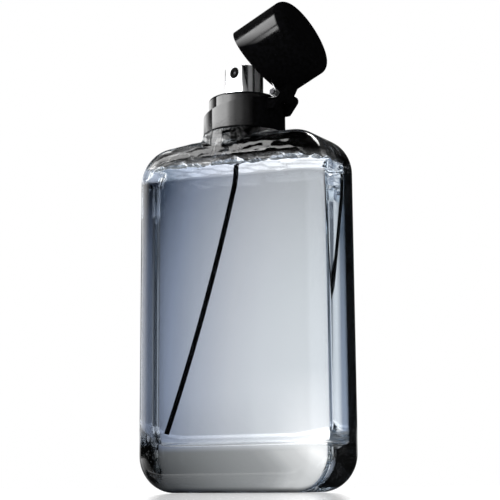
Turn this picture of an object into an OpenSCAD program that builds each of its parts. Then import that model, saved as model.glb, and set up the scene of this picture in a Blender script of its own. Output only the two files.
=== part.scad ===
// Glass spray bottle with a hinged flip cap: flask, crimped pump, push button, collar and cap.
// Millimetres. Origin at the middle of the base, X along the wide side towards the hinge,
// Y from the front to the back, Z up. The cap is drawn standing open.

/* [Glass body] */
// Width of the flask
body_w = 67; // [60:1:80]
// Thickness of the flask from front to back
body_t = 27.4; // [27:0.2:36]
// Height of the shoulder at the neck
body_h = 109.2; // [90:0.2:130]
// Radius of the four corners seen from the front
corner_r = 11.8; // [9:0.2:15]
// Radius along the front and back edges
edge_r = 6.8; // [3:0.2:8]
// How much lower the shoulder is where its corners start
shoulder_drop = 0.6; // [0:0.1:2]
// Thickness of the glass at the narrow sides and the shoulder
side_wall = 2.3; // [1.8:0.1:4]
// Thickness of the glass at the front and back
face_wall = 2.3; // [1.8:0.1:4]
// Thickness of the glass under the liquid
base_t = 14.2; // [8:0.2:20]
// Radius of the cavity's lower corners
cavity_corner_r = 9; // [6:0.5:12]
// Radius along the cavity's front and back edges
cavity_edge_r = 4.7; // [2:0.1:5.5]
// Depth of the recess under the base
recess_depth = 0.6; // [0.2:0.1:1.5]
// Length of the recess under the base
recess_l = 27; // [20:1:30]
// Width of the recess under the base
recess_w = 9; // [6:0.5:11]

/* [Neck] */
// Diameter of the round boss under the collar
boss_d = 26.6; // [26:0.1:27]
// Height of the boss above the shoulder
boss_h = 1.85; // [1:0.05:6]
// Radius of the flare at the foot of the boss
flare_r = 1.6; // [1:0.1:1.8]
// Diameter of the neck below its bead
neck_d = 12.8; // [12:0.1:13.4]
// Height of the neck below its bead
neck_h = 1.5; // [1.4:0.1:3]
// Diameter of the bead that the ferrule grips
bead_d = 15; // [14.4:0.1:16]
// Height of the bead
bead_h = 1.8; // [1.4:0.1:3]
// Bore of the neck
bore_d = 9.6; // [9:0.1:10.5]

/* [Liquid and dip tube] */
// Depth of the liquid's surface below the pump's tail
liquid_drop = 0.35; // [0.3:0.05:40]
// Space kept between the liquid and the glass
liquid_gap = 0.25; // [0.2:0.05:0.4]
// Outside diameter of the dip tube
tube_d = 1.8; // [1.6:0.1:2.2]
// Bore of the dip tube
tube_bore = 1; // [0.6:0.1:1.2]
// Angle of the short bend below the pump
first_bend = 15; // [6:0.5:16]
// Radius of the short bend
first_bend_r = 25; // [15:1:35]
// Distance of the tube's end from the glass at the narrow side
tube_foot_in = 5.3; // [4:0.1:8]
// Height of the tube's end above the cavity's floor
tube_foot_rise = 3.8; // [3:0.1:6]

/* [Pump] */
// Outside diameter of the pump housing
housing_d = 8.4; // [7.8:0.1:8.8]
// Bore of the pump housing
cylinder_d = 5.2; // [4.8:0.1:5.6]
// Room left for the return spring at the end of the stroke
spring_room = 3.3; // [2.8:0.1:4.5]
// Thickness of the housing's floor
housing_floor = 1.2; // [1:0.1:1.6]
// Outside diameter of the housing's tail
tail_d = 3.4; // [3.2:0.1:4.4]
// Length of the housing's tail
tail_l = 4; // [3:0.1:5]
// Depth of the tube's socket in the tail
tube_socket = 3.2; // [2:0.1:3.4]
// Diameter of the passage between the socket and the ball
inlet_d = 0.8; // [0.6:0.1:0.9]
// Diameter of the check ball
ball_d = 1.6; // [1.4:0.1:1.8]
// Thickness of the housing's flange
flange_t = 0.8; // [0.6:0.1:1.2]
// Thickness of the neck gasket
gasket_t = 0.7; // [0.5:0.1:1.2]
// Diameter of the pump stem
stem_d = 3.2; // [2.8:0.1:3.4]
// Bore of the pump stem
stem_bore = 1.2; // [0.8:0.1:1.4]
// Height of the piston
piston_h = 2.4; // [1.8:0.1:2.6]
// Travel of the push button
stroke = 3.2; // [2:0.1:3.3]
// Thickness of the stem guide's plate
guide_t = 0.5; // [0.4:0.1:0.8]
// Diameter of the stem guide's plate
guide_d = 13; // [10:0.5:14]
// Depth of the stem guide's plug in the housing
guide_plug = 1.6; // [1:0.1:1.8]
// Diameter of the stem guide's nose
guide_nose_d = 8.2; // [7:0.1:9]
// Height of the stem guide's nose above the ferrule
guide_nose_h = 0.8; // [0.4:0.1:0.8]
// Sheet thickness of the ferrule
ferrule_wall = 0.4; // [0.3:0.05:0.5]
// Wire of the return spring
return_wire = 0.4; // [0.3:0.05:0.45]
// Curls of the return spring
return_curls = 5; // [4:1:6]

/* [Push button] */
// Diameter of the chrome sleeve
button_d = 12.2; // [11.6:0.1:12.6]
// Height of the button above the seat
button_h = 10.2; // [9:0.1:11]
// How deep the button reaches into the seat
button_dip = 1.3; // [0.8:0.1:1.5]
// Sheet thickness of the sleeve
sleeve_wall = 0.6; // [0.4:0.1:0.7]
// Rounding of the sleeve's top edge
sleeve_edge_r = 0.5; // [0.3:0.05:0.6]
// Distance of the flat front from the button's axis
flat_dist = 5.1; // [4.8:0.1:5.4]
// Turn of the flat front towards the left
button_turn = 8.5; // [0:0.5:30]
// Distance of the core's underside above the sleeve's rim
core_lift = 1.2; // [0.8:0.1:2]
// Depth of the stem's socket in the core
stem_socket = 5; // [3:0.1:5.5]
// Diameter of the nozzle insert
nozzle_d = 2.4; // [2:0.1:2.8]
// Length of the nozzle insert
nozzle_l = 3.1; // [2:0.1:3.2]
// Depth of the nozzle's axis below the button's top
nozzle_drop = 2.1; // [1.8:0.1:3.2]
// How far the nozzle stands out of the flat
nozzle_proud = 0.12; // [0.05:0.01:0.3]
// Diameter of the nozzle's dished face
nozzle_dish_d = 1.4; // [1:0.1:1.6]
// Depth of the nozzle's dished face
nozzle_dish = 0.42; // [0.2:0.01:0.8]
// Diameter of the spray hole
spray_d = 0.4; // [0.3:0.05:0.6]

/* [Collar and seat] */
// Thickness of the collar around the seat ring
collar_wall = 1.65; // [1.4:0.05:1.8]
// Height of the collar on the side away from the hinge
collar_h_free = 5.3; // [4:0.1:6]
// Height of the collar at the hinge
collar_h_hinge = 10.3; // [9.6:0.1:10.4]
// Diameter of the seat ring
seat_d = 22.6; // [22:0.1:23]
// Height of the seat above the collar's foot
seat_h = 11.9; // [11.6:0.1:12.4]
// Thickness of the seat's plate
seat_plate = 1.8; // [1.2:0.1:2]
// Thickness of the seat's skirt
seat_wall = 1; // [0.7:0.05:1.1]
// Rounding of the seat's top edge
seat_edge_r = 0.8; // [0.4:0.1:1]
// Rounding of the collar's lower edge
collar_edge_r = 0.5; // [0.3:0.05:0.7]
// Thickness of the lip that the collar liner rests on the ferrule with
liner_lip = 0.8; // [0.5:0.1:0.9]
// Thickness of the collar liner's two sleeves
liner_sleeve = 0.8; // [0.6:0.05:0.9]

/* [Cap] */
// Length of the cap on the side away from the hinge
cap_h_free = 20.1; // [19.6:0.1:23]
// Thickness of the cap's wall
cap_wall = 0.8; // [0.6:0.05:0.9]
// Thickness of the cap's top
cap_top_t = 1; // [0.8:0.1:1.4]
// Rounding of the cap's top edge
cap_edge_r = 2.75; // [2:0.25:3.5]
// Thickness of the cap's liner
cap_liner_t = 0.6; // [0.4:0.05:0.65]
// Slope of the liner's rim, in height per length
liner_slope = 0.46; // [0.44:0.01:0.6]
// Angle at which the cap stands open
cap_open = 67; // [0:1:100]

/* [Hinge] */
// Distance of the hinge axis from the collar's outside
hinge_stand = 1.95; // [1.9:0.05:2.4]
// Depth of the hinge axis below the top of the seat
hinge_drop = 1.35; // [1.2:0.05:1.5]
// Diameter of the knuckles
knuckle_d = 3.4; // [3:0.1:3.5]
// Length of the cap's knuckle
cap_knuckle_l = 5.8; // [4:0.1:7]
// Height of the web above the hinge axis that joins the cap's knuckle to its wall
web_h = 5; // [3:0.1:6]
// Length of each collar knuckle
lug_l = 2.6; // [2:0.1:3.5]
// Depth of the lugs' feet below the hinge axis
lug_foot = 4.4; // [3:0.1:7]
// How far the lugs' feet stand out of the collar
lug_toe = 0.6; // [0.3:0.1:1.2]
// Diameter of the hinge pin
pin_d = 1.5; // [1.2:0.05:1.6]
// Diameter of the pin's head
pin_head_d = 2.4; // [2:0.1:2.8]
// Thickness of the pin's head
pin_head_t = 0.7; // [0.4:0.1:1]
// Wire of the hinge spring
hinge_wire = 0.4; // [0.35:0.05:0.45]
// Space between two curls of the hinge spring
hinge_curl_gap = 0.46; // [0.45:0.01:0.6]
// Whole curls of the hinge spring
hinge_curls = 2; // [1:1:3]

/* [Fits] */
// Space around a piece that slides or turns in another
running_gap = 0.05; // [0.03:0.01:0.08]
// Space around a piece that is pushed into another and stays
seat_gap = 0.05; // [0.02:0.01:0.08]
// Space between the cap's rim and the collar when the cap is shut
rim_gap = 0.3; // [0.25:0.05:0.5]
// Space between the button and the seat
button_gap = 0.5; // [0.3:0.05:0.6]
// Space between a moving piece and what stops it
stop_gap = 0.3; // [0.25:0.05:0.5]
// Space between a spring and what it lies in or beside
spring_gap = 0.2; // [0.15:0.05:0.3]
// Space between the ferrule's lip and the neck
crimp_gap = 0.2; // [0.1:0.05:0.3]

/* [Hidden] */
$fn = 96;

// Heights of the neck and of what stands on it
boss_top = body_h + boss_h;
bead_z = boss_top + neck_h;
glass_top = bead_z + bead_h;
flange_z = glass_top + gasket_t;
housing_top = flange_z + flange_t;
guide_top = housing_top + guide_t;
ferrule_top = guide_top + ferrule_wall;
ferrule_r = bead_d / 2 + seat_gap + ferrule_wall;

// Pump
piston_top = housing_top - guide_plug - stop_gap;
piston_z = piston_top - piston_h;
cylinder_z = piston_z - stroke - spring_room;
housing_z = cylinder_z - housing_floor;
tail_z = housing_z - tail_l;
ball_z = cylinder_z + sqrt(pow(ball_d / 2, 2) - pow(inlet_d / 2, 2)) + running_gap;
return_r = cylinder_d / 2 - return_wire / 2 - spring_gap;

// Liquid, and the dip tube in the XZ plane with its end in the cavity's lower corner
liquid_level = tail_z - liquid_drop;
tube_top = tail_z + tube_socket;
bend_z = tail_z - seat_gap;
bend_end_x = -first_bend_r * (1 - cos(first_bend));
bend_end_z = bend_z - first_bend_r * sin(first_bend);
foot_x = side_wall + tube_foot_in - body_w / 2;
foot_z = base_t + tube_foot_rise;
tube_lean = 2 * atan((bend_end_x - foot_x) / (bend_end_z - foot_z)) - first_bend;
second_bend = tube_lean - first_bend;
second_bend_r = (bend_end_z - foot_z) / (sin(tube_lean) - sin(first_bend));

// Collar, seat and button
seat_r = seat_d / 2;
collar_r = seat_r + seat_gap + collar_wall;
seat_top = boss_top + seat_h;
part_z = boss_top + collar_h_free;
part_angle = atan((collar_h_hinge - collar_h_free) / (2 * collar_r));
button_r = button_d / 2;
button_top = seat_top + button_h;
button_z = seat_top - button_dip;
core_r = button_r - sleeve_wall - seat_gap;
core_flat = flat_dist - sleeve_wall - seat_gap;
core_z = button_z + core_lift;
core_top = button_top - sleeve_wall - seat_gap;
stem_top = core_z + stem_socket;
nozzle_z = button_top - nozzle_drop;

// Cap and hinge
cap_top = part_z + cap_h_free;
hinge_x = collar_r + hinge_stand;
hinge_z = seat_top - hinge_drop;
knuckle_r = knuckle_d / 2;
knuckle_gap = 2 * running_gap;
lug_y = cap_knuckle_l / 2 + knuckle_gap;
lug_end = lug_y + lug_l;
hinge_pitch = hinge_wire + hinge_curl_gap;
hinge_coil_r = pin_d / 2 + hinge_wire + running_gap;
hinge_coil_y = -(lug_end + hinge_wire / 2 + spring_gap);
hinge_coil_turn = 360 * hinge_curls + 180 - cap_open;
hinge_coil_end_y = hinge_coil_y - hinge_pitch * hinge_coil_turn / 360;
pin_front = hinge_coil_end_y - hinge_wire;

// How far a cut runs past its piece, a length beyond every piece, and the least width of a disc's core
past = 0.5;
reach = body_w + body_h;
sliver = 0.01;

// Steps and sides of the swept wires and of the tube
curl_rings = 8;
wire_sides = 6;
tube_sides = 12;
first_bend_rings = 4;
second_bend_rings = 9;

// Rounded slab seen from the front: four round corners, a raised middle, round edges all along
module rounded_slab(w, t, z0, z1, r_low, r_high, r_edge, drop, ridge_w) {
    hull() {
        for (side = [-1, 1]) {
            translate([side * (w / 2 - r_low), 0, z0 + r_low]) edge_disc(r_low, t, r_edge);
            translate([side * (w / 2 - r_high), 0, z1 - drop - r_high]) edge_disc(r_high, t, r_edge);
            translate([side * ridge_w / 2, 0, z1 - r_high]) edge_disc(r_high, t, r_edge);
        }
    }
}

// Disc across Y with rounded rims
module edge_disc(r, t, r_edge) {
    rim = min(r_edge, r);
    rotate([90, 0, 0]) rotate_extrude($fn = 40) {
        translate([0, -t / 2]) square([max(r - rim, sliver), t]);
        translate([0, -t / 2 + rim]) square([r, t - 2 * rim]);
        intersection() {
            for (side = [-1, 1]) translate([r - rim, side * (t / 2 - rim)]) circle(rim, $fn = 24);
            translate([0, -t]) square([r, 2 * t]);
        }
    }
}

// Room inside the flask, drawn in by a gap
module cavity(gap) {
    rounded_slab(
        body_w - 2 * side_wall - 2 * gap, body_t - 2 * face_wall - 2 * gap,
        base_t + gap, body_h - side_wall - gap,
        cavity_corner_r - gap, corner_r - side_wall - gap, cavity_edge_r - gap / 2,
        shoulder_drop, bore_d
    );
}

// Ring between two radii
module ring(r_out, r_in, z0, z1) {
    translate([0, 0, z0]) difference() {
        cylinder(r = r_out, h = z1 - z0);
        translate([0, 0, -past]) cylinder(r = r_in, h = z1 - z0 + 2 * past);
    }
}

// Everything below the oblique line where the cap meets the collar, raised by a gap
module below_part_line(gap, angle = part_angle) {
    translate([-collar_r, 0, part_z + gap])
        rotate([0, -angle, 0])
            translate([-reach, -reach, -2 * reach]) cube([3 * reach, 2 * reach, 2 * reach]);
}

// Turns a piece drawn on the shut cap to where the cap stands open
module opened() {
    translate([hinge_x, 0, hinge_z])
        rotate([0, cap_open, 0])
            translate([-hinge_x, 0, -hinge_z]) children();
}

// Bar across Y with the outline of its children, which is drawn with X to the right and Z up
module across(y0, y1) {
    translate([0, y1, 0]) rotate([90, 0, 0]) linear_extrude(y1 - y0) children();
}

// Rings of a round section set square to a path; no stretch of the path may run along the axis
function path_rings(points, d, axis, sides) = [
    for (i = [0 : len(points) - 1]) let (
        ahead = points[min(i + 1, len(points) - 1)] - points[max(i - 1, 0)],
        side = cross(ahead, axis) / norm(cross(ahead, axis)),
        up = cross(side, ahead) / norm(cross(side, ahead))
    ) for (k = [0 : sides - 1])
        points[i] + d / 2 * (cos(360 * k / sides) * side + sin(360 * k / sides) * up)
];

// Triangles between the rings of a path, counted from a first corner
function path_walls(count, sides, first = 0) = [
    for (i = [0 : count - 2]) for (k = [0 : sides - 1]) let (
        a = first + i * sides + k,
        b = first + i * sides + (k + 1) % sides
    ) each [[a, b, a + sides], [b, b + sides, a + sides]]
];

// Solid wire swept along points
module wire(points, d, axis, sides = wire_sides) {
    last = (len(points) - 1) * sides;
    ends = [for (k = [1 : sides - 2]) each [[0, k + 1, k], [last, last + k, last + k + 1]]];
    polyhedron(path_rings(points, d, axis, sides), concat(path_walls(len(points), sides), ends));
}

// Tube with a bore swept along points
module pipe(points, d, bore, axis, sides) {
    count = len(points);
    inner = count * sides;
    last = (count - 1) * sides;
    ends = [for (k = [0 : sides - 1]) let (n = (k + 1) % sides) each [
        [k, inner + k, n], [n, inner + k, inner + n],
        [last + k, last + n, inner + last + k], [last + n, inner + last + n, inner + last + k]
    ]];
    inner_walls = [for (t = path_walls(count, sides, inner)) [t[0], t[2], t[1]]];
    polyhedron(
        concat(path_rings(points, d, axis, sides), path_rings(points, bore, axis, sides)),
        concat(path_walls(count, sides), inner_walls, ends)
    );
}

// Middle line of the dip tube: straight in its socket, a short bend and a long one, run on past its end
function tube_points(run_on = 0) = concat(
    [[0, 0, tube_top], [0, 0, bend_z]],
    [for (i = [1 : first_bend_rings]) let (lean = first_bend * i / first_bend_rings)
        [-first_bend_r * (1 - cos(lean)), 0, bend_z - first_bend_r * sin(lean)]],
    [for (i = [1 : second_bend_rings]) let (lean = first_bend + second_bend * i / second_bend_rings)
        [
            bend_end_x - second_bend_r * (cos(first_bend) - cos(lean)),
            0,
            bend_end_z - second_bend_r * (sin(lean) - sin(first_bend))
        ]],
    run_on > 0 ? [[foot_x - run_on * sin(tube_lean), 0, foot_z - run_on * cos(tube_lean)]] : []
);

// Least space between curls of a wire, measured on its points that lie over half a curl apart
function self_gap(points, d) = min([
    for (i = [0 : len(points) - 1])
        for (j = [i + ceil(curl_rings / 2) : 1 : len(points) - 1])
            norm(points[i] - points[j])
]) - d;

// Middle line of the return spring: even curls about Z
function return_points() = [
    for (i = [0 : return_curls * curl_rings]) let (
        turn = 360 * i / curl_rings,
        low = cylinder_z + return_wire / 2 + running_gap,
        high = piston_z - return_wire / 2 - running_gap
    ) [return_r * cos(turn), return_r * sin(turn), low + (high - low) * i / (return_curls * curl_rings)]
];

// Leg towards the collar, curls about the pin, leg towards the cap
function hinge_points() = let (
    steps = ceil(hinge_coil_turn / 360 * curl_rings),
    wall_x = sqrt(pow(collar_r, 2) - pow(hinge_coil_y, 2)),
    low_leg = hinge_x - wall_x - hinge_wire,
    cap_x = sqrt(pow(collar_r, 2) - pow(hinge_coil_end_y, 2)),
    high_leg = hinge_x - cap_x - hinge_wire
) concat(
    [for (s = [low_leg, low_leg - hinge_wire]) [hinge_x - s, hinge_coil_y, hinge_z - hinge_coil_r]],
    [for (i = [0 : steps]) let (turn = -90 + hinge_coil_turn * i / steps)
        [
            hinge_x + hinge_coil_r * cos(turn),
            hinge_coil_y + (hinge_coil_end_y - hinge_coil_y) * i / steps,
            hinge_z + hinge_coil_r * sin(turn)
        ]],
    [for (s = [high_leg - hinge_wire, high_leg])
        [
            hinge_x + hinge_coil_r * sin(cap_open) - s * cos(cap_open),
            hinge_coil_end_y,
            hinge_z + hinge_coil_r * cos(cap_open) + s * sin(cap_open)
        ]]
);

echo(hinge_spring_least_gap = self_gap(hinge_points(), hinge_wire));
echo(return_spring_least_gap = self_gap(return_points(), return_wire));

// Clear flask with a heavy base, a round boss and a crimp neck
module glass_bottle() {
    flare_reach = body_t / 2 - edge_r * sqrt(0.5);
    color([0.86, 0.9, 0.93, 0.4]) difference() {
        union() {
            rounded_slab(body_w, body_t, 0, body_h, corner_r, corner_r, edge_r, shoulder_drop, boss_d);
            translate([0, 0, body_h - edge_r]) cylinder(d = boss_d, h = boss_h + edge_r);
            intersection() {
                rotate_extrude() translate([boss_d / 2 - past, body_h - past]) difference() {
                    square([flare_r + past, flare_r + past]);
                    translate([flare_r + past, flare_r + past]) circle(flare_r);
                }
                translate([-reach, -flare_reach, 0]) cube([2 * reach, 2 * flare_reach, 3 * reach]);
            }
            translate([0, 0, boss_top - past]) cylinder(d = neck_d, h = neck_h + 2 * past);
            translate([0, 0, bead_z]) cylinder(d = bead_d, h = bead_h);
        }
        cavity(0);
        translate([0, 0, body_h - side_wall - past]) cylinder(d = bore_d, h = glass_top);
        translate([0, 0, -past]) linear_extrude(recess_depth + past) base_recess();
    }
}

// Outline of the recess under the base
module base_recess() {
    straight = recess_l - recess_w;
    square([straight, recess_w], center = true);
    for (side = [-1, 1]) translate([side * straight / 2, 0]) circle(d = recess_w);
}

// Liquid, clear of the glass and of the dip tube
module liquid_fill() {
    color([0.62, 0.68, 0.76, 0.6]) difference() {
        cavity(liquid_gap);
        translate([-reach, -reach, liquid_level]) cube([2 * reach, 2 * reach, reach]);
        wire(tube_points(liquid_gap), tube_d + 2 * liquid_gap, [0, 1, 0], tube_sides);
    }
}

// Black tube from the pump to the far corner of the floor
module dip_tube() {
    color([0.05, 0.05, 0.06]) pipe(tube_points(), tube_d, tube_bore, [0, 1, 0], tube_sides);
}

// Pump body hanging in the neck, with its flange, ball seat and tail
module pump_housing() {
    color([0.13, 0.13, 0.14]) difference() {
        union() {
            translate([0, 0, flange_z]) cylinder(d = bead_d, h = flange_t);
            translate([0, 0, housing_z]) cylinder(d = housing_d, h = housing_top - housing_z);
            translate([0, 0, tail_z]) cylinder(d = tail_d, h = tail_l + past);
        }
        translate([0, 0, cylinder_z]) cylinder(d = cylinder_d, h = housing_top);
        translate([0, 0, tail_z - past]) cylinder(d = inlet_d, h = housing_top - tail_z);
        translate([0, 0, tail_z - past])
            cylinder(d = tube_d + 2 * seat_gap, h = tube_socket + past + seat_gap);
    }
}

// Steel ball over the inlet
module check_ball() {
    color([0.75, 0.76, 0.78]) translate([0, 0, ball_z]) sphere(d = ball_d);
}

// Wire spring under the piston
module return_spring() {
    color([0.72, 0.73, 0.75]) wire(return_points(), return_wire, [0, 0, 1]);
}

// Seal that slides in the housing, on the foot of the stem
module piston() {
    color([0.85, 0.86, 0.88])
        ring(cylinder_d / 2 - running_gap, stem_d / 2 + seat_gap, piston_z, piston_top);
}

// Hollow stem from the piston up into the button
module pump_stem() {
    color([0.82, 0.83, 0.85]) difference() {
        translate([0, 0, piston_z]) cylinder(d = stem_d, h = stem_top - piston_z);
        translate([0, 0, piston_z - past]) cylinder(d = stem_bore, h = stem_top - piston_z + 2 * past);
    }
}

// Plug that closes the housing and guides the stem
module stem_guide() {
    color([0.2, 0.2, 0.21]) difference() {
        union() {
            translate([0, 0, housing_top]) cylinder(d = guide_d, h = guide_t);
            translate([0, 0, housing_top - guide_plug])
                cylinder(r = cylinder_d / 2 - seat_gap, h = guide_plug + guide_t);
            translate([0, 0, housing_top])
                cylinder(d = guide_nose_d, h = ferrule_top + guide_nose_h - housing_top);
        }
        translate([0, 0, housing_top - guide_plug - past])
            cylinder(r = stem_d / 2 + running_gap, h = reach);
    }
}

// Soft washer between the glass and the housing's flange
module neck_gasket() {
    color([0.75, 0.75, 0.72]) ring(bead_d / 2, housing_d / 2 + seat_gap, glass_top, flange_z);
}

// Thin metal cup crimped under the bead
module crimp_ferrule() {
    lip_r = neck_d / 2 + crimp_gap;
    color([0.8, 0.81, 0.83]) {
        ring(ferrule_r, guide_nose_d / 2 + seat_gap, guide_top, ferrule_top);
        ring(ferrule_r, ferrule_r - ferrule_wall, bead_z - ferrule_wall, ferrule_top);
        ring(ferrule_r, lip_r, bead_z - ferrule_wall, bead_z);
    }
}

// Plastic insert that snaps over the ferrule and carries the seat
module collar_liner() {
    inner = ferrule_r + seat_gap;
    outer = seat_r - seat_wall - seat_gap;
    top = ferrule_top + liner_lip;
    color([0.16, 0.16, 0.17]) {
        ring(inner + liner_sleeve, inner, boss_top + seat_gap, top);
        ring(outer, outer - liner_sleeve, boss_top + seat_gap, top);
        ring(outer, button_r + button_gap + seat_gap, ferrule_top, top);
    }
}

// Black ring that the cap closes over, with the button's opening
module seat_ring() {
    color([0.06, 0.06, 0.07]) rotate_extrude() difference() {
        union() {
            translate([button_r + button_gap, boss_top + seat_gap])
                square([seat_r - button_r - button_gap - seat_edge_r, seat_h - seat_gap]);
            translate([seat_r - 2 * seat_edge_r, boss_top + seat_gap])
                square([2 * seat_edge_r, seat_h - seat_gap - seat_edge_r]);
            translate([seat_r - seat_edge_r, seat_top - seat_edge_r]) circle(seat_edge_r);
        }
        translate([0, boss_top - past]) square([seat_r - seat_wall, seat_h - seat_plate + past]);
    }
}

// Black collar with an oblique top and two hinge lugs
module collar_ring() {
    bore = seat_r + seat_gap;
    color([0.05, 0.05, 0.06]) difference() {
        union() {
            intersection() {
                rotate_extrude() {
                    translate([bore - past, boss_top])
                        square([collar_r - collar_edge_r - bore + past, collar_h_hinge + past]);
                    translate([collar_r - 2 * collar_edge_r, boss_top + collar_edge_r])
                        square([2 * collar_edge_r, collar_h_hinge + past - collar_edge_r]);
                    translate([collar_r - collar_edge_r, boss_top + collar_edge_r]) circle(collar_edge_r);
                }
                below_part_line(0);
            }
            for (side = [-1, 1]) {
                low = side > 0 ? lug_y : -lug_end;
                across(low, low + lug_l) lug_outline();
            }
        }
        translate([0, 0, boss_top - past]) cylinder(r = bore, h = reach);
        translate([hinge_x, reach, hinge_z])
            rotate([90, 0, 0]) cylinder(r = pin_d / 2 + seat_gap, h = 2 * reach);
    }
}

// Side view of a collar lug: round head on a foot that runs down the collar
module lug_outline() {
    root = seat_r + seat_gap + stop_gap;
    shelf = boss_top + collar_h_hinge - 2 * rim_gap;
    slant = knuckle_r * sqrt(0.5);
    translate([hinge_x, hinge_z]) circle(knuckle_r);
    polygon([
        [hinge_x + slant, hinge_z - slant],
        [hinge_x - knuckle_r, hinge_z],
        [hinge_x - knuckle_r, shelf],
        [root, shelf],
        [root, hinge_z - lug_foot],
        [collar_r + lug_toe, hinge_z - lug_foot]
    ]);
}

// Pin through the knuckles, with a head at the back
module hinge_pin() {
    color([0.1, 0.1, 0.11]) translate([hinge_x, 0, hinge_z]) {
        translate([0, lug_end, 0]) rotate([90, 0, 0]) cylinder(d = pin_d, h = lug_end - pin_front);
        translate([0, lug_end + pin_head_t, 0]) rotate([90, 0, 0]) cylinder(d = pin_head_d, h = pin_head_t);
    }
}

// Bright torsion spring on the pin's front end
module hinge_spring() {
    color([0.8, 0.81, 0.83]) wire(hinge_points(), hinge_wire, [0, 1, 0]);
}

// Round bar with one flat, along Z
module flatted(r, flat, z0, z1) {
    intersection() {
        translate([0, 0, z0]) cylinder(r = r, h = z1 - z0);
        translate([-reach, -flat, z0]) cube([2 * reach, reach, z1 - z0]);
    }
}

// Bar along the button's spray axis, from one distance to another
module spray_bar(d, from, to) {
    translate([0, -from, nozzle_z]) rotate([90, 0, 0]) cylinder(d = d, h = to - from);
}

// Plastic core of the button, with the stem's socket and the spray passages
module actuator_core() {
    pocket = flat_dist + nozzle_proud - nozzle_l;
    color([0.2, 0.2, 0.21]) rotate([0, 0, -button_turn]) difference() {
        flatted(core_r, core_flat, core_z, core_top);
        translate([0, 0, core_z - past])
            cylinder(r = stem_d / 2 + running_gap, h = stem_socket + past + seat_gap);
        translate([0, 0, core_z]) cylinder(d = stem_bore, h = nozzle_z - core_z);
        spray_bar(stem_bore, 0, button_r);
        spray_bar(nozzle_d + 2 * seat_gap, pocket - seat_gap, button_r);
    }
}

// Chrome sleeve over the core, flat at the front
module actuator_sleeve() {
    color([0.85, 0.86, 0.88]) rotate([0, 0, -button_turn]) difference() {
        intersection() {
            rotate_extrude() {
                translate([0, button_z]) square([button_r, button_h + button_dip - sleeve_edge_r]);
                translate([0, button_z]) square([button_r - sleeve_edge_r, button_h + button_dip]);
                translate([button_r - sleeve_edge_r, button_top - sleeve_edge_r]) circle(sleeve_edge_r);
            }
            translate([-reach, -flat_dist, button_z - past]) cube([2 * reach, 2 * reach, reach]);
        }
        flatted(core_r + seat_gap, core_flat + seat_gap, button_z - past, core_top + seat_gap);
        spray_bar(nozzle_d + 2 * seat_gap, core_flat - past, button_r);
    }
}

// Black insert with a dished face and a fine spray hole
module nozzle_insert() {
    front = flat_dist + nozzle_proud;
    color([0.08, 0.08, 0.09]) rotate([0, 0, -button_turn]) difference() {
        spray_bar(nozzle_d, front - nozzle_l, front);
        spray_bar(nozzle_dish_d, front - nozzle_dish, front + past);
        spray_bar(spray_d, front - nozzle_l - past, front);
    }
}

// Black cap with an oblique rim and its hinge knuckle
module cap_shell() {
    color([0.04, 0.04, 0.05]) opened() difference() {
        union() {
            difference() {
                cap_blank();
                below_part_line(rim_gap);
                cap_hollow();
            }
            across(-cap_knuckle_l / 2, cap_knuckle_l / 2) cap_knuckle_outline();
        }
        translate([hinge_x, reach, hinge_z])
            rotate([90, 0, 0]) cylinder(r = pin_d / 2 + running_gap, h = 2 * reach);
    }
}

// Outside of the cap before its rim is cut
module cap_blank() {
    rotate_extrude() {
        translate([0, part_z]) square([collar_r, cap_h_free - cap_edge_r]);
        translate([0, part_z]) square([collar_r - cap_edge_r, cap_h_free]);
        translate([collar_r - cap_edge_r, cap_top - cap_edge_r]) circle(cap_edge_r);
    }
}

// Room inside the cap
module cap_hollow() {
    inner_r = collar_r - cap_wall;
    inner_edge = cap_edge_r - cap_wall;
    inner_top = cap_top - cap_top_t;
    rotate_extrude() {
        translate([0, part_z - past]) square([inner_r, inner_top - part_z + past - inner_edge]);
        translate([0, part_z - past]) square([inner_r - inner_edge, inner_top - part_z + past]);
        translate([inner_r - inner_edge, inner_top - inner_edge]) circle(inner_edge);
    }
}

// Side view of the cap's knuckle and the web that joins it to the wall
module cap_knuckle_outline() {
    root = collar_r - cap_wall + 3 * seat_gap;
    translate([hinge_x, hinge_z]) circle(knuckle_r);
    polygon([
        [hinge_x, hinge_z + knuckle_r],
        [root, hinge_z + web_h],
        [root, hinge_z + knuckle_gap],
        [hinge_x, hinge_z + knuckle_gap]
    ]);
}

// Plastic cup inside the cap, its rim cut steeper than the cap's
module cap_liner() {
    out_r = collar_r - cap_wall - seat_gap;
    out_edge = cap_edge_r - cap_wall;
    out_top = cap_top - cap_top_t - seat_gap;
    color([0.1, 0.1, 0.11]) opened() difference() {
        rotate_extrude() difference() {
            union() {
                translate([0, part_z]) square([out_r, out_top - part_z - out_edge]);
                translate([0, part_z]) square([out_r - out_edge, out_top - part_z]);
                translate([out_r - out_edge, out_top - out_edge]) circle(out_edge);
            }
            translate([-past, part_z - past])
                square([out_r - cap_liner_t + past, out_top - part_z - out_edge + past]);
        }
        below_part_line(2 * rim_gap, atan(liner_slope));
    }
}

glass_bottle();
liquid_fill();
dip_tube();
pump_housing();
check_ball();
return_spring();
piston();
pump_stem();
stem_guide();
neck_gasket();
crimp_ferrule();
collar_liner();
seat_ring();
collar_ring();
hinge_pin();
hinge_spring();
actuator_core();
actuator_sleeve();
nozzle_insert();
cap_shell();
cap_liner();
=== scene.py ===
import math
import random

import bpy
import numpy as np
from mathutils import Matrix, Vector


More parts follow.
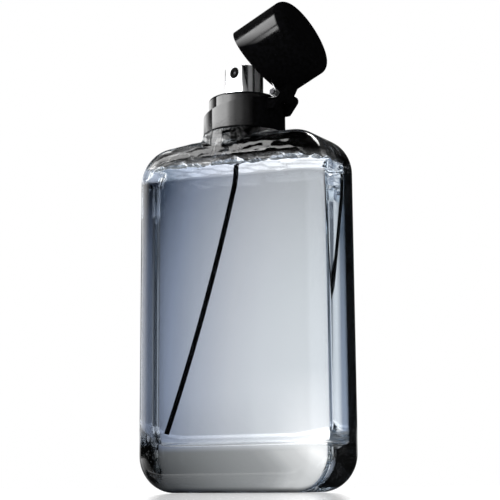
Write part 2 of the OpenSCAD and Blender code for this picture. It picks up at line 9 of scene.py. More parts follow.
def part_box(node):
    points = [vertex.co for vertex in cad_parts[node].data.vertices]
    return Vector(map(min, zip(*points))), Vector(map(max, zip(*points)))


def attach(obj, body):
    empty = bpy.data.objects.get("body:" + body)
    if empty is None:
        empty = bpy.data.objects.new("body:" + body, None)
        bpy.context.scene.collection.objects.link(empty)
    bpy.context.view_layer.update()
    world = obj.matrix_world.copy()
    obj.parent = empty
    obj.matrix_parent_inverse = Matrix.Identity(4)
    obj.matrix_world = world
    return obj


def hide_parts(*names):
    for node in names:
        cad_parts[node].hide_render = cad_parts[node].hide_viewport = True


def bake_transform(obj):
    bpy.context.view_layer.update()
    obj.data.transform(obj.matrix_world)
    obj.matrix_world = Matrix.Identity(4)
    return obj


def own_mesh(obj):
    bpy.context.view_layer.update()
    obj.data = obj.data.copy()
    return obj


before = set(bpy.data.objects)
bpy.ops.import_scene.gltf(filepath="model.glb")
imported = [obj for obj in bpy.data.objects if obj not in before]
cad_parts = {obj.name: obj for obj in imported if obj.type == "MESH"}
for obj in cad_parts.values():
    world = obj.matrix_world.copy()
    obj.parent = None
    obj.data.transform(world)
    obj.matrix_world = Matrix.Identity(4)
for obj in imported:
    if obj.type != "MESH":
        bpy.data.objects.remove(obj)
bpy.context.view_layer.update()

# Lengths are written in millimetres and turned into metres when a mesh is made
MM = 0.001


# Sizes read from the frame, in millimetres
def mm_box(name):
    low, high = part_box(name)
    return low / MM, high / MM


GLASS_LOW, GLASS_HIGH = mm_box("glass_bottle")
LIQUID_LOW, LIQUID_HIGH = mm_box("liquid_fill")
COLLAR_LOW = mm_box("collar_ring")[0]
RETURN_LOW, RETURN_HIGH = mm_box("return_spring")
COIL_LOW, COIL_HIGH = mm_box("hinge_spring")
PIN_LOW, PIN_HIGH = mm_box("hinge_pin")
NOZZLE_LOW, NOZZLE_HIGH = mm_box("nozzle_insert")
BODY_W = GLASS_HIGH.x - GLASS_LOW.x
BODY_T = GLASS_HIGH.y - GLASS_LOW.y
GLASS_TOP = GLASS_HIGH.z
BOSS_TOP = COLLAR_LOW.z
COLLAR_R = -COLLAR_LOW.y
LIQUID_LEVEL = LIQUID_HIGH.z

# Sizes of the flask that the frame's boxes do not give
BODY_H = 109.2
CORNER_R = 11.8
EDGE_R = 6.8
SHOULDER_DROP = 0.6
SIDE_WALL = 2.3
FACE_WALL = 2.3
LIQUID_GAP = 0.25
BASE_T = LIQUID_LOW.z - LIQUID_GAP
CAVITY_CORNER_R = 9.0
CAVITY_EDGE_R = 4.7
BOSS_R = 13.3
FLARE_R = 1.6
NECK_R = 6.4
BEAD_R = 7.5
BEAD_Z = 112.55
BORE_R = 4.8
BORE_FLARE = 1.4
RECESS_L = 27.0
RECESS_W = 9.0
RECESS_DEPTH = 0.6
FLARE_FADE = (5.0, 12.5)
FLARE_LOSS = 0.9
BOSS_ROOT = 2.5
BOSS_SUNK = 0.3
BOSS_EDGE = 0.4
SHARP_ANGLE = 40.0

# Glass and liquid: the liquid's wall lies a little inside the glass and bends the light for both
GLASS_IOR = 1.5
GLASS_TINT = (0.1, 0.2, 0.25)
GLASS_DENSITY = 5.0
GLASS_WAVE = 0.008
WAVE_CELLS = 45
LIQUID_IOR = 1.36
WALL_BEND = 0.965
INTO_GLASS = 0.12
WET_BELOW = 1.0

# Surface of the liquid, its waves as height, radians per millimetre along X and along Y, and start
SURFACE_SLOPE = 0.05
SURFACE_BELOW = 4.0
MENISCUS = 1.4
MENISCUS_REACH = 0.9
MENISCUS_INSET = 0.5
MENISCUS_WAVES = [(0.5, 0.33, 0.0, 0.9), (0.35, 0.87, 1.3, 0.0), (0.1, 2.3, -1.0, 0.0)]
RIPPLES = [(0.14, 0.33, 0.5, 0.0), (0.08, 0.71, -0.4, 1.0)]

# Bubbles along the edge of the liquid
BUBBLES = 84
BUBBLE_R = (0.06, 0.2)
BUBBLE_DEPTH = (0.3, 2.0)
BUBBLE_GAP = 0.1
BUBBLE_SEED = 5

# Painted shade in the glass beside the liquid, with painted light in places: how far left it is deepest,
# and how the top leans into it
BODY_PAINTED_SHADE = [
    (0.0, (0.02, 0.032, 0.055)), (0.13, (0.145, 0.18, 0.26)), (0.29, (0.33, 0.365, 0.44)),
    (0.44, (0.47, 0.495, 0.54)), (0.58, (0.605, 0.625, 0.66)), (0.72, (0.625, 0.655, 0.685)),
    (0.85, (0.67, 0.7, 0.72)),
]
SHADE_REACH = 42.0
SHADE_LEAN = 12.0
SHADE_UNEVEN = 2.0
SHADE_AND_TONE_CELLS = 12
SHADE_ABOVE = 0.38
SHADE_ABOVE_LEFT = 0.4
SHADE_ABOVE_POWER = 3
SHADE_BELOW = 0.25
LOW_Z = (30.0, 16.0)
GLOW_Z = (36.0, 16.0)
GLOW_X = (8.0, 30.0)

# Places with more painted shade or painted light, as distances from the left end and as depths before the
# middle
STRIP_END = (14.0, 9.0)
STRIP_Y = (-8.0, -12.0)
STRIP_SHADE = 0.15
STRIP_SHADE_HIGH = 0.9
STRIP_RISE = (76.0, 92.0)
LIT_END = (3.2, 2.2)
LIT_Y = (-3.0, -6.0)
PAINTED_LIGHT_TINT = 0.98
BAND_BELOW = (4.2, 3.4)
BAND_Y = (-5.0, -8.0)

# Painted shade in the shoulder, with painted highlights as lighter swirls that end on the right
SHOULDER_RISE = (1.0, 3.0)
SHOULDER_SHADE = 0.13
SHOULDER_DARK = 0.03
SHOULDER_RIPPLE = 60.0
RIPPLE_CELLS = 160
SWIRL_CELLS = 130
SWIRL_DETAIL = 0.6
SWIRL_WIDTH = (0.045, 0.015)
SWIRL_END = (3.0, 11.0)

# Painted shade in the base, which leans to the right as it rises and is lighter behind
BASE_PAINTED_SHADE = [
    (0.03, (0.025, 0.027, 0.03)), (0.15, (0.075, 0.08, 0.085)), (0.3, (0.15, 0.158, 0.163)),
    (0.5, (0.24, 0.25, 0.256)), (0.6, (0.28, 0.29, 0.296)), (0.755, (0.34, 0.35, 0.356)),
    (0.83, (0.48, 0.49, 0.495)), (0.87, (0.7, 0.71, 0.715)), (0.91, (1.0, 1.0, 1.0)),
]
BASE_FADE = 2.0
FOOT_LEAN = 15.0
FOOT_BEHIND = 20.0
FOOT_Y = (-4.0, 4.0)
# Painted shade: black in the front left corner of the base and along the rear edge of the right side
CORNER_END = (12.0, 8.0)
CORNER_RISE = 8.0
CORNER_SHADE = 0.0004
REAR_END = (2.0, 1.5)
REAR_Y = (1.0, 3.0)
REAR_STEP = 8.0
REAR_SHADE = 0.0003

# Head and its materials
# Painted shade in a ring around the nozzle: its width, fade and colour
NOZZLE_SHADE_RING = 0.3
SHADE_RING_FADE = 0.1
SHADE_RING_TINT = 0.004
NOZZLE_GREY_MIDDLE = (0.3, 0.6)
CHROME_FULL = 1.05
CHROME_LOSS = 0.7
CHROME_BANDS = [
    (0.0, 0.07), (0.1, 0.1), (0.2, 0.55), (0.27, 0.5), (0.3, 0.12),
    (0.36, 0.12), (0.4, 0.6), (0.6, 0.7), (0.66, 0.07), (1.0, 0.07),
]
NOISE_SPAN = (0.3, 0.7)
LACQUER_SHINE = 0.5
LACQUER_PEEL = 0.004
MOULDED_GRAIN = 0.01
LUG_DULL = (5.0, 4.0)
CAP_SHINE_Z = 140.0
CAP_DULL_Z = 136.0
CAP_EDGE_R = 2.75
CAP_EDGE_FADE = 0.6

# Springs
SPRING_WIRE = 0.4
RETURN_CURLS = 5
HINGE_CURLS = 2
HINGE_COIL_R = 1.2
CAP_OPEN = 67.0

# Where the photograph was taken from
VIEW_TURN = 31.0
VIEW_DISTANCE = 404.5
VIEW_HEIGHT = 1.5
VIEW_SIDE = 1.5
VIEW_PITCH = 10.25
VIEW_ROLL = -0.39
FOCAL_PX = 1314.7
PHOTO_PX = 500.0
SENSOR_MM = 36.0
NEAREST = 0.01
FARTHEST = 50.0

# Light of the studio: levels at angles in degrees, counted from straight behind the bottle
LIGHT_BOUNCES = 40
ROOM_LIGHT = 0.75
FLOOR_PALE = 0.86
FLOOR_MIRRORED = 0.03
FLOOR_LIFT = 0.3
FLOOR_IN_LIQUID = 0.9
FOOT_RISE = (2.1, 2.7)
WINDOW_SILL = (14.9, 15.8)
WINDOW_STEP = (17.1, 17.4)
WINDOW_HALF = (23, 25)
WINDOW_TOP = (48, 52)
LAMP_TOP = (60, 63)
WALL_LEVELS = [
    (-180, 0.2), (-126, 0.2), (-124, 0.02), (-108, 0.02), (-104, 0.6), (-60, 1.0), (-12, 1.0),
    (-6, 0.93), (12, 0.93), (60, 0.65), (100, 0.4), (112, 0.2), (180, 0.2),
]
HEIGHT_LEVELS = [(-10, 1.25), (30, 1.25), (40, 0.5), (50, 0.2)]
WINDOW_LEVELS = [
    (-180, 0.5), (-169, 1.2), (-155, 1.5), (-140, 3.7), (-128, 8.5), (-108, 8.7), (-81, 9.4),
    (-78.5, 9.4), (-77, 0.05), (-73, 0.1), (-63, 0.5), (-51, 2.0), (-36, 2.5), (-20, 1.5),
    (0, 0.9), (20, 0.02), (150, 0.05), (163, 0.15), (180, 0.5),
]
UPPER_LEVELS = [
    (-180, 0.02), (-170, 0.1), (-150, 1.5), (-128, 5.0), (-112, 6.0), (-108, 1.1), (-80, 1.1),
    (-77, 0.05), (-60, 0.05), (-36, 0.2), (0, 0.25), (20, 0.005), (80, 0.005), (90, 0.12),
    (98, 0.6), (106, 1.1), (114, 0.6), (121, 0.015), (126, 0.1), (134, 0.2), (147, 0.16),
    (158, 0.28), (165, 0.1), (172, 0.01), (180, 0.02),
]
TOP_LEVELS = [
    (-180, 0.01), (-114, 0.01), (-111.5, 5.0), (-80, 5.0), (-77, 0.05), (-60, 0.03), (180, 0.01),
]
LAMP_LEVELS = [(-180, 0.01), (-8, 0.01), (0, 8), (20, 12), (75, 12), (88, 0.01), (180, 0.01)]
RIM_LEVELS = [
    (-180, 0.01), (-108, 0.01), (-95, 1.2), (-80, 3.0), (-45, 3.0), (-38, 0.5), (0, 0.01), (180, 0.01),
]
SKIRT_LEVELS = [(-180, 0.02), (-45, 0.02), (-40, 1.0), (40, 1.0), (45, 0.02), (180, 0.02)]
ROOM_LEVEL = 0.01

# Softboxes: place to the right of, behind and above the foot, width and height, and power
SOFTBOXES = {
    "key": ((-420, -300, 380), (260, 420), 4.0),
    "fill": ((520, -420, 260), (300, 500), 1.5),
}
SOFTBOX_AIM = 90.0

turn = math.radians(VIEW_TURN)
VIEW_RIGHT = Vector((math.cos(turn), math.sin(turn), 0))
VIEW_AWAY = Vector((-math.sin(turn), math.cos(turn), 0))
UP = Vector((0, 0, 1))
CAP_AXIS = Vector((math.sin(math.radians(CAP_OPEN)), 0, math.cos(math.radians(CAP_OPEN))))


def add_camera():
    pitch = math.radians(VIEW_PITCH)
    roll = math.radians(VIEW_ROLL)
    ahead = VIEW_AWAY * math.cos(pitch) + UP * math.sin(pitch)
    above = UP * math.cos(pitch) - VIEW_AWAY * math.sin(pitch)
    right = VIEW_RIGHT * math.cos(roll) + above * math.sin(roll)
    above = above * math.cos(roll) - VIEW_RIGHT * math.sin(roll)
    place = (VIEW_RIGHT * VIEW_SIDE - VIEW_AWAY * VIEW_DISTANCE + UP * VIEW_HEIGHT) * MM
    data = bpy.data.cameras.new("camera")
    data.sensor_width = SENSOR_MM
    data.lens = FOCAL_PX / PHOTO_PX * SENSOR_MM
    data.clip_start = NEAREST
    data.clip_end = FARTHEST
    camera = bpy.data.objects.new("camera", data)
    axes = Matrix((right, above, -ahead)).transposed()
    camera.matrix_world = Matrix.Translation(place) @ axes.to_4x4()
    bpy.context.scene.collection.objects.link(camera)
    bpy.context.scene.camera = camera


# Mesh helpers
def add_mesh(name, points, faces):
    mesh = bpy.data.meshes.new(name)
    mesh.from_pydata([tuple(float(c) * MM for c in p) for p in points], [], faces)
    mesh.validate()
    mesh.shade_smooth()
    piece = bpy.data.objects.new(name, mesh)
    bpy.context.scene.collection.objects.link(piece)
    return piece


def ring_faces(rings, count, first=0):
    """Quads between rings of points that follow each other."""
    faces = []
    for i in range(rings - 1):
        for k in range(count):
            a = first + i * count + k
            b = first + i * count + (k + 1) % count
            faces.append((a, b, b + count, a + count))
    return faces


def tube_faces(rings, count):
    """The same with both ends closed."""
    last = (rings - 1) * count
    ends = [tuple(range(count - 1, -1, -1)), tuple(range(last, last + count))]
    return ring_faces(rings, count) + ends


def apply_modifiers(piece):
    graph = bpy.context.evaluated_depsgraph_get()
    mesh = bpy.data.meshes.new_from_object(piece.evaluated_get(graph))
    piece.modifiers.clear()
    old = piece.data
    piece.data = mesh
    bpy.data.meshes.remove(old)


def combine(piece, tool, operation):
    """Joins, cuts or meets a piece with a tool, which is used up."""
    step = piece.modifiers.new("combine", "BOOLEAN")
    step.object = tool
    step.operation = operation
    step.solver = "EXACT"
    apply_modifiers(piece)
    bpy.data.objects.remove(tool)


def lathe(name, profile, sides=96):
    """Solid turned about Z from a profile of radius and height, first and last points closed flat."""
    points = []
    for r, z in profile:
        for k in range(sides):
            a = 2 * math.pi * k / sides
            points.append((r * math.cos(a), r * math.sin(a), z))
    return add_mesh(name, points, tube_faces(len(profile), sides))


def arc(cx, cz, r, start, end, steps):
    """Points of an arc, angles in degrees."""
    angles = np.radians(np.linspace(start, end, steps + 1))
    return [(cx + r * math.cos(a), cz + r * math.sin(a)) for a in angles]


def wire(name, route, thickness, sides=12):
    """Round wire along a route, with flat ends."""
    route = [Vector(p) for p in route]
    side = (route[1] - route[0]).orthogonal()
    points = []
    for i, p in enumerate(route):
        ahead = (route[min(i + 1, len(route) - 1)] - route[max(i - 1, 0)]).normalized()
        side = (side - ahead * side.dot(ahead)).normalized()
        over = ahead.cross(side)
        for k in range(sides):
            a = 2 * math.pi * k / sides
            points.append(p + (side * math.cos(a) + over * math.sin(a)) * thickness / 2)
    return add_mesh(name, points, tube_faces(len(route), sides))


# Flask
def slab_outline(w, z0, z1, r_low, r_high, ridge_w):
    """Front outline of the flask's shape as points and outward normals, from the bottom to the right."""
    lean = math.degrees(math.atan2(w / 2 - r_high - ridge_w / 2, SHOULDER_DROP))
    arcs = [
        (w / 2 - r_low, z0 + r_low, r_low, -90, 0, 24),
        (w / 2 - r_high, z1 - SHOULDER_DROP - r_high, r_high, 0, lean, 24),
        (ridge_w / 2, z1 - r_high, r_high, lean, 90, 2),
    ]
    right = [((0.0, z0), (0.0, -1.0))]
    for cx, cz, r, start, end, steps in arcs:
        for a in np.radians(np.linspace(start, end, steps + 1)):
            n = (math.cos(a), math.sin(a))
            right.append(((cx + r * n[0], cz + r * n[1]), n))
    right.append(((0.0, z1), (0.0, 1.0)))
    left = [((-p[0], p[1]), (-n[0], n[1])) for p, n in right[-2:0:-1]]
    return filled(right + left)


def filled(outline, longest=4.0):
    """Adds points along the straight stretches of an outline, so that no side is long."""
    done = []
    for i, (p, n) in enumerate(outline):
        q, m = outline[(i + 1) % len(outline)]
        steps = max(1, round(math.dist(p, q) / longest))
        for s in range(steps):
            t = s / steps
            point = (p[0] + (q[0] - p[0]) * t, p[1] + (q[1] - p[1]) * t)
            normal = Vector((n[0] + (m[0] - n[0]) * t, n[1] + (m[1] - n[1]) * t)).normalized()
            done.append((point, normal))
    return done


def slab(name, outline, thickness, edge_r, gap=0.0, steps=14, face_rings=(2.0, 0.7)):
    """Closed shape with that front outline, round along its front and back edges, drawn in by a gap."""
    half = thickness / 2 - gap
    edge = edge_r - gap / 2
    profile = [(edge + inset, half) for inset in face_rings]
    for i in range(steps + 1):
        a = math.pi / 2 * (1 - i / steps)
        profile.append((edge * (1 - math.cos(a)), half - edge + edge * math.sin(a)))
    profile += [(0.0, y) for y in np.linspace(half - edge, 0, 4)[1:]]
    profile = [(inset, -y) for inset, y in profile] + [(inset, y) for inset, y in profile[-2::-1]]
    points = []
    for inset, y in profile:
        for p, n in outline:
            points.append((p[0] - n[0] * (inset + gap), y, p[1] - n[1] * (inset + gap)))
    faces = [f[::-1] for f in tube_faces(len(profile), len(outline))]
    return add_mesh(name, points, faces)


def outer_slab():
    outline = slab_outline(BODY_W, 0.0, BODY_H, CORNER_R, CORNER_R, 2 * BOSS_R)
    return slab("flask_glass", outline, BODY_T, EDGE_R)


def cavity_slab(name, gap):
    outline = slab_outline(
        BODY_W - 2 * SIDE_WALL, BASE_T, BODY_H - SIDE_WALL,
        CAVITY_CORNER_R, CORNER_R - SIDE_WALL, 2 * BORE_R,
    )
    return slab(name, outline, BODY_T - 2 * FACE_WALL, CAVITY_EDGE_R, gap)


def shoulder_height(x, y):
    """Height of the flask's top outside the boss."""
    over = max(0.0, abs(y) - (BODY_T / 2 - EDGE_R))
    inset = EDGE_R - math.sqrt(max(0.0, EDGE_R**2 - over**2))
    slope = SHOULDER_DROP / (BODY_W / 2 - CORNER_R - BOSS_R)
    return BODY_H - inset - slope * max(0.0, abs(x) - BOSS_R)


def smooth_step(low, high, value):
    t = min(1.0, max(0.0, (value - low) / (high - low)))
    return t * t * (3 - 2 * t)


def neck_boss(sides=144, flare_steps=8):
    """Round boss that flares into the shoulder, with the neck and its bead on top."""
    rings = []
    for k in range(sides):
        a = 2 * math.pi * k / sides
        across = abs(math.sin(a)) * BOSS_R
        flare = FLARE_R * (1 - FLARE_LOSS * smooth_step(*FLARE_FADE, across))
        foot = shoulder_height((BOSS_R + flare) * math.cos(a), (BOSS_R + flare) * math.sin(a))
        profile = [(BOSS_R - BOSS_ROOT, BODY_H - EDGE_R), (BOSS_R + flare, foot - BOSS_SUNK)]
        profile += arc(BOSS_R + flare, foot + flare, flare, 270, 180, flare_steps)
        profile += arc(BOSS_R - BOSS_EDGE, BOSS_TOP - BOSS_EDGE, BOSS_EDGE, 0, 90, 4)
        profile += [(NECK_R, BOSS_TOP), (NECK_R, BEAD_Z), (BEAD_R, BEAD_Z), (BEAD_R, GLASS_TOP)]
        rings.append([(r * math.cos(a), r * math.sin(a), z) for r, z in profile])
    levels = len(rings[0])
    points = [rings[k][i] for i in range(levels) for k in range(sides)]
    return add_mesh("neck_boss", points, tube_faces(levels, sides))


def neck_bore():
    """Bore of the neck, opening out where it enters the cavity."""
    ceiling = BODY_H - SIDE_WALL
    flare = arc(BORE_R + BORE_FLARE, ceiling + BORE_FLARE, BORE_FLARE, 270, 180, 6)
    profile = [(BORE_R + BORE_FLARE, ceiling - 1.0)] + flare + [(BORE_R, GLASS_TOP + 1.0)]
    return lathe("neck_bore", profile)


def base_recess(steps=24, depth_steps=6):
    """Shallow dished recess under the base."""
    straight = (RECESS_L - RECESS_W) / 2
    rings = []
    for i in range(depth_steps + 1):
        t = i / depth_steps
        r = RECESS_W / 2 * (1 - 0.25 * t * t)
        z = RECESS_DEPTH * math.sin(t * math.pi / 2)
        right = [(straight + x, y) for x, y in arc(0, 0, r, -90, 90, steps)]
        left = [(-straight + x, y) for x, y in arc(0, 0, r, 90, 270, steps)]
        rings.append([(x, y, z) for x, y in right + left])
    count = len(rings[0])
    below = [(x, y, -1.0) for x, y, _ in rings[0]]
    points = below + [p for ring in rings for p in ring]
    return add_mesh("base_recess", points, tube_faces(len(rings) + 1, count))


def add_flask(material):
    flask = outer_slab()
    combine(flask, neck_boss(), "UNION")
    cavity = cavity_slab("cavity", 0.0)
    combine(cavity, neck_bore(), "UNION")
    combine(flask, cavity, "DIFFERENCE")
    combine(flask, base_recess(), "DIFFERENCE")
    finish_piece(flask, "bottle", material, ["glass_bottle"])
    flask.data.set_sharp_from_angle(angle=math.radians(SHARP_ANGLE))


# Liquid
def wall_distance(x, y, half_w, half_t, r):
    """Distance from a point inside a round-cornered rectangle to its side."""
    dx = abs(x) - (half_w - r)
    dy = abs(y) - (half_t - r)
    outside = math.hypot(max(dx, 0.0), max(dy, 0.0)) + min(max(dx, dy), 0.0) - r
    return max(0.0, -outside)


def waves(rows, x, y):
    return sum(size * math.sin(per_x * x + per_y * y + start) for size, per_x, per_y, start in rows)


def liquid_height(x, y):
    """Surface of the liquid: it climbs the glass all round and ripples a little."""
    half_w = BODY_W / 2 - SIDE_WALL
    half_t = BODY_T / 2 - FACE_WALL
    d = wall_distance(x, y, half_w - MENISCUS_INSET, half_t, CAVITY_EDGE_R)
    climb = MENISCUS * math.exp(-d / MENISCUS_REACH) * (1 + waves(MENISCUS_WAVES, x, y))
    return LIQUID_LEVEL - SURFACE_SLOPE * x + climb + waves(RIPPLES, x, y)


def below_surface(columns=168, rows=72, under_base=5.0):
    """Block with the liquid's surface as its top."""
    xs = np.linspace(-BODY_W / 2, BODY_W / 2, columns)
    ys = np.linspace(-BODY_T / 2, BODY_T / 2, rows)
    top = [(x, y, liquid_height(x, y)) for y in ys for x in xs]
    bottom = [(x, y, BASE_T - under_base) for y in ys for x in xs]
    total = len(top)
    faces = []
    for j in range(rows - 1):
        for i in range(columns - 1):
            a = j * columns + i
            quad = (a, a + 1, a + columns + 1, a + columns)
            faces.append(quad)
            faces.append(tuple(v + total for v in quad[::-1]))
    rim = list(range(columns))
    rim += [j * columns + columns - 1 for j in range(1, rows)]
    rim += [(rows - 1) * columns + i for i in range(columns - 2, -1, -1)]
    rim += [j * columns for j in range(rows - 2, 0, -1)]
    for i, a in enumerate(rim):
        b = rim[(i + 1) % len(rim)]
        faces.append((b, a, a + total, b + total))
    return add_mesh("below_surface", top + bottom, faces)


def bubbles(rows=8, sides=12):
    """Small balls in a line along the front and back of the glass, under the surface."""
    chance = random.Random(BUBBLE_SEED)
    reach = BODY_W / 2 - SIDE_WALL - CAVITY_EDGE_R
    points = []
    faces = []
    for i in range(BUBBLES):
        r = chance.uniform(*BUBBLE_R)
        x = -reach + 2 * reach * i / (BUBBLES - 1)
        y = chance.choice((-1, 1, 1)) * (BODY_T / 2 - FACE_WALL - BUBBLE_GAP - r)
        z = LIQUID_LEVEL - SURFACE_SLOPE * x - chance.uniform(*BUBBLE_DEPTH) - r
        first = len(points)
        for j in range(1, rows):
            up = math.pi * j / rows - math.pi / 2
            for k in range(sides):
                a = 2 * math.pi * k / sides
                level = r * math.cos(up)
                points.append((x + level * math.cos(a), y + level * math.sin(a), z + r * math.sin(up)))
        faces += ring_faces(rows - 1, sides, first)
        last = len(points) - sides
        points += [(x, y, z - r), (x, y, z + r)]
        for k in range(sides):
            after = (k + 1) % sides
            faces.append((first + after, first + k, len(points) - 2))
            faces.append((last + k, last + after, len(points) - 1))
    return add_mesh("bubbles", points, faces)


def add_liquid(material):
    liquid = cavity_slab("liquid_body", -INTO_GLASS)
    combine(liquid, below_surface(), "INTERSECT")
    combine(liquid, bubbles(), "DIFFERENCE")
    finish_piece(liquid, "bottle", material, ["liquid_fill"])
    liquid.data.set_sharp_from_angle(angle=math.radians(SHARP_ANGLE))


# Springs
def add_return_spring(material, steps=24):
    """Even curls under the piston, which the button presses together; drawn at one length only."""
    r = (RETURN_HIGH.x - RETURN_LOW.x - SPRING_WIRE) / 2
    low = RETURN_LOW.z + SPRING_WIRE / 2
    high = RETURN_HIGH.z - SPRING_WIRE / 2
    route = []
    for i in range(RETURN_CURLS * steps + 1):
        a = 2 * math.pi * i / steps
        route.append((r * math.cos(a), r * math.sin(a), low + (high - low) * i / (RETURN_CURLS * steps)))
    spring = wire("return_coil", route, SPRING_WIRE)
    finish_piece(spring, "bottle", material, ["return_spring"])
    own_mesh(spring)


def add_hinge_spring(material, steps=24):
    """Leg on the collar, curls about the pin and a leg on the cap, wound to the cap's open angle; drawn for
    that angle only.
    """
    axis_x = (PIN_LOW.x + PIN_HIGH.x) / 2
    axis_z = (PIN_LOW.z + PIN_HIGH.z) / 2
    first_y = COIL_HIGH.y - SPRING_WIRE / 2
    last_y = COIL_LOW.y + SPRING_WIRE / 2
    turned = 360 * HINGE_CURLS + 180 - CAP_OPEN
    open_angle = math.radians(CAP_OPEN)
    low_leg = axis_x - math.sqrt(COLLAR_R**2 - first_y**2) - SPRING_WIRE
    high_leg = axis_x - math.sqrt(COLLAR_R**2 - last_y**2) - SPRING_WIRE
    route = [(axis_x - low_leg, first_y, axis_z - HINGE_COIL_R)]
    count = round(turned / 360 * steps)
    for i in range(count + 1):
        a = math.radians(-90 + turned * i / count)
        y = first_y + (last_y - first_y) * i / count
        route.append((axis_x + HINGE_COIL_R * math.cos(a), y, axis_z + HINGE_COIL_R * math.sin(a)))
    route.append((
        axis_x + HINGE_COIL_R * math.sin(open_angle) - high_leg * math.cos(open_angle),
        last_y,
        axis_z + HINGE_COIL_R * math.cos(open_angle) + high_leg * math.sin(open_angle),
    ))
    spring = wire("hinge_coil", route, SPRING_WIRE)
    finish_piece(spring, None, material, ["hinge_spring"])
    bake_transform(spring)


# Materials
def new_material(name):
    """Empty node material with a Principled shader and its output."""
    material = bpy.data.materials.new(name)
    material.use_nodes = True
    return material, material.node_tree.nodes["Principled BSDF"]


def set_values(shader, **values):
    for key, value in values.items():
        shader.inputs[key.replace("_", " ")].default_value = value


def node(material, kind, **inputs):
    made = material.node_tree.nodes.new(kind)
    for key, value in inputs.items():
        made.inputs[key.replace("_", " ")].default_value = value
    return made


def link(material, source, target):
    material.node_tree.links.new(source, target)


def arithmetic(tree, operation, *values):
    """Math node on sockets or plain numbers."""
    made = node(tree, "ShaderNodeMath")
    made.operation = operation
    for socket, value in zip(made.inputs, values):
        if isinstance(value, bpy.types.NodeSocket):
            link(tree, value, socket)
        else:
            socket.default_value = value
    return made.outputs["Value"]


def product(tree, first, *others):
    """Sockets or plain numbers multiplied together."""
    for other in others:
        first = arithmetic(tree, "MULTIPLY", first, other)
    return first


def mixed(tree, share, first, second):
    """The first at a share of 0 and the second at 1, each a socket or a plain grey."""
    made = node(tree, "ShaderNodeMix")
    made.data_type = "RGBA"
    link(tree, share, made.inputs["Factor"])
    for socket, value in zip((made.inputs["A"], made.inputs["B"]), (first, second)):
        if isinstance(value, bpy.types.NodeSocket):
            link(tree, value, socket)
        else:
            socket.default_value = (value, value, value, 1)
    return made.outputs["Result"]


def between(tree, value, low, high):
    """0 below the one value, 1 above the other and even in between."""
    made = node(tree, "ShaderNodeMapRange")
    made.inputs["From Min"].default_value = low
    made.inputs["From Max"].default_value = high
    link(tree, value, made.inputs["Value"])
    return made.outputs["Result"]


def mm_between(tree, value, low, high):
    """The same with the two values in millimetres."""
    return between(tree, value, low * MM, high * MM)


def object_place(material):
    return node(material, "ShaderNodeTexCoord").outputs["Object"]


def object_parts(material):
    """Place on the piece itself as X, Y and Z."""
    parts = node(material, "ShaderNodeSeparateXYZ")
    link(material, object_place(material), parts.inputs["Vector"])
    return [parts.outputs[axis] for axis in "XYZ"]


def along(tree, vector, axis):
    """How far a vector reaches along an axis."""
    made = node(tree, "ShaderNodeVectorMath")
    made.operation = "DOT_PRODUCT"
    link(tree, vector, made.inputs[0])
    made.inputs[1].default_value = axis
    return made.outputs["Value"]


def stretched(material, vector, scale):
    mapping = node(material, "ShaderNodeMapping")
    mapping.inputs["Scale"].default_value = scale
    link(material, vector, mapping.inputs["Vector"])
    return mapping.outputs["Vector"]


def noise(material, scale, detail=3.0, stretch=(1, 1, 1)):
    """Noise over the piece's own place, its scale in cells per metre."""
    made = node(material, "ShaderNodeTexNoise", Scale=scale, Detail=detail)
    link(material, stretched(material, object_place(material), stretch), made.inputs["Vector"])
    return made.outputs["Fac"]


def ranged(material, value, low, high):
    """Noise spread between two values."""
    made = node(material, "ShaderNodeMapRange")
    made.inputs["From Min"].default_value = NOISE_SPAN[0]
    made.inputs["From Max"].default_value = NOISE_SPAN[1]
    made.inputs["To Min"].default_value = low
    made.inputs["To Max"].default_value = high
    link(material, value, made.inputs["Value"])
    return made.outputs["Result"]


def ramp(material, value, stops):
    """Colours along a value from 0 to 1."""
    made = node(material, "ShaderNodeValToRGB")
    elements = made.color_ramp.elements
    for place, colour in stops[1:-1]:
        elements.new(place).color = (*colour, 1)
    for element, (place, colour) in ((elements[0], stops[0]), (elements[-1], stops[-1])):
        element.position = place
        element.color = (*colour, 1)
    link(material, value, made.inputs["Fac"])
    return made.outputs["Color"]


def grey_stops(levels):
    return [(place, (level, level, level)) for place, level in levels]


def bump(material, shader, height, distance):
    """Unevenness of the surface, its greatest height in millimetres."""
    made = node(material, "ShaderNodeBump", Strength=1.0, Distance=distance * MM)
    link(material, height, made.inputs["Height"])
    link(material, made.outputs["Normal"], shader.inputs["Normal"])


def inside(material, place, halves, r, span):
    """1 within an upright block with round corners, 0 elsewhere, its sizes in millimetres."""
    x, y, height = place
    squares = []
    for value, half in zip((x, y), halves):
        past = arithmetic(material, "SUBTRACT", arithmetic(material, "ABSOLUTE", value), (half - r) * MM)
        past = arithmetic(material, "MAXIMUM", past, 0.0)
        squares.append(product(material, past, past))
    within = arithmetic(material, "LESS_THAN", arithmetic(material, "ADD", *squares), (r * MM) ** 2)
    over = arithmetic(material, "GREATER_THAN", height, span[0] * MM)
    under = arithmetic(material, "LESS_THAN", height, span[1] * MM)
    return product(material, within, over, under)


def absorb(material, colour, density):
    """Colour that deepens with the length of the way through the material."""
    volume = node(material, "ShaderNodeVolumeAbsorption", Density=density)
    volume.inputs["Color"].default_value = (*colour, 1)
    link(material, volume.outputs["Volume"], material.node_tree.nodes["Material Output"].inputs["Volume"])


def at_left_end(material, x, y, reach, front):
    """1 close to the left end and far enough in front, 0 elsewhere."""
    end = mm_between(material, x, reach[0] - BODY_W / 2, reach[1] - BODY_W / 2)
    return product(material, end, mm_between(material, y, *front))


